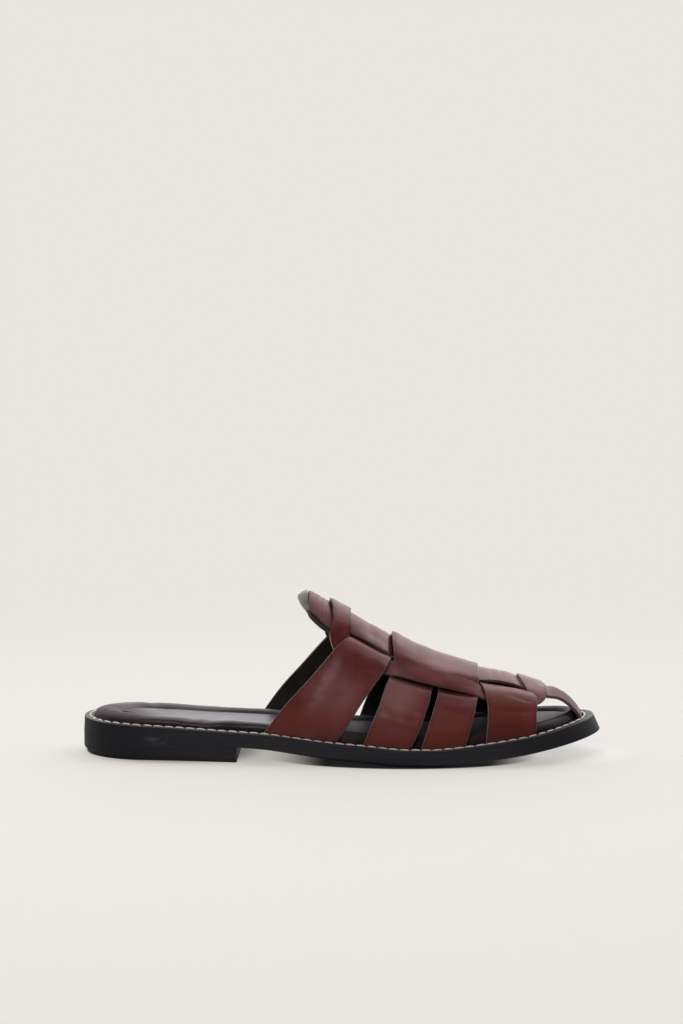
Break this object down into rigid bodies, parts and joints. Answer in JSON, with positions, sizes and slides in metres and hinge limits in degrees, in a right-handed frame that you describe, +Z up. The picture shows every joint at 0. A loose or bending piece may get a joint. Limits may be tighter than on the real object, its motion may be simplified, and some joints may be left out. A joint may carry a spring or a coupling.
{
  "type": "fisherman slide",
  "caption": "Right-foot leather slide: woven strap upper with open toe corners and an open back, padded insole, welted flat sole and low heel.",
  "frame": {"origin": "on the floor under the middle of the shoe's bounding box", "axes": "+X from the heel to the toe, +Y to the medial side, +Z up"},
  "size_m": [0.2698, 0.0938, 0.0846],
  "materials": {
    "outsole": "smooth black edge-finished sole leather, satin",
    "heel": "smooth black edge-finished stacked heel, satin",
    "welt": "black welt leather with a row of cream stitches, satin",
    "insole": "dark brown padded smooth leather with a soft sheen",
    "tongue": "dark brown lining leather, padded",
    "upper": "oxblood brown burnished leather with a soft sheen and raw cut edges"
  },
  "bodies": {
    "root": {"outsole": "outsole", "heel": "heel", "welt": "welt", "insole": "insole", "tongue": "tongue", "upper": "upper"}
  },
  "joints": []
}
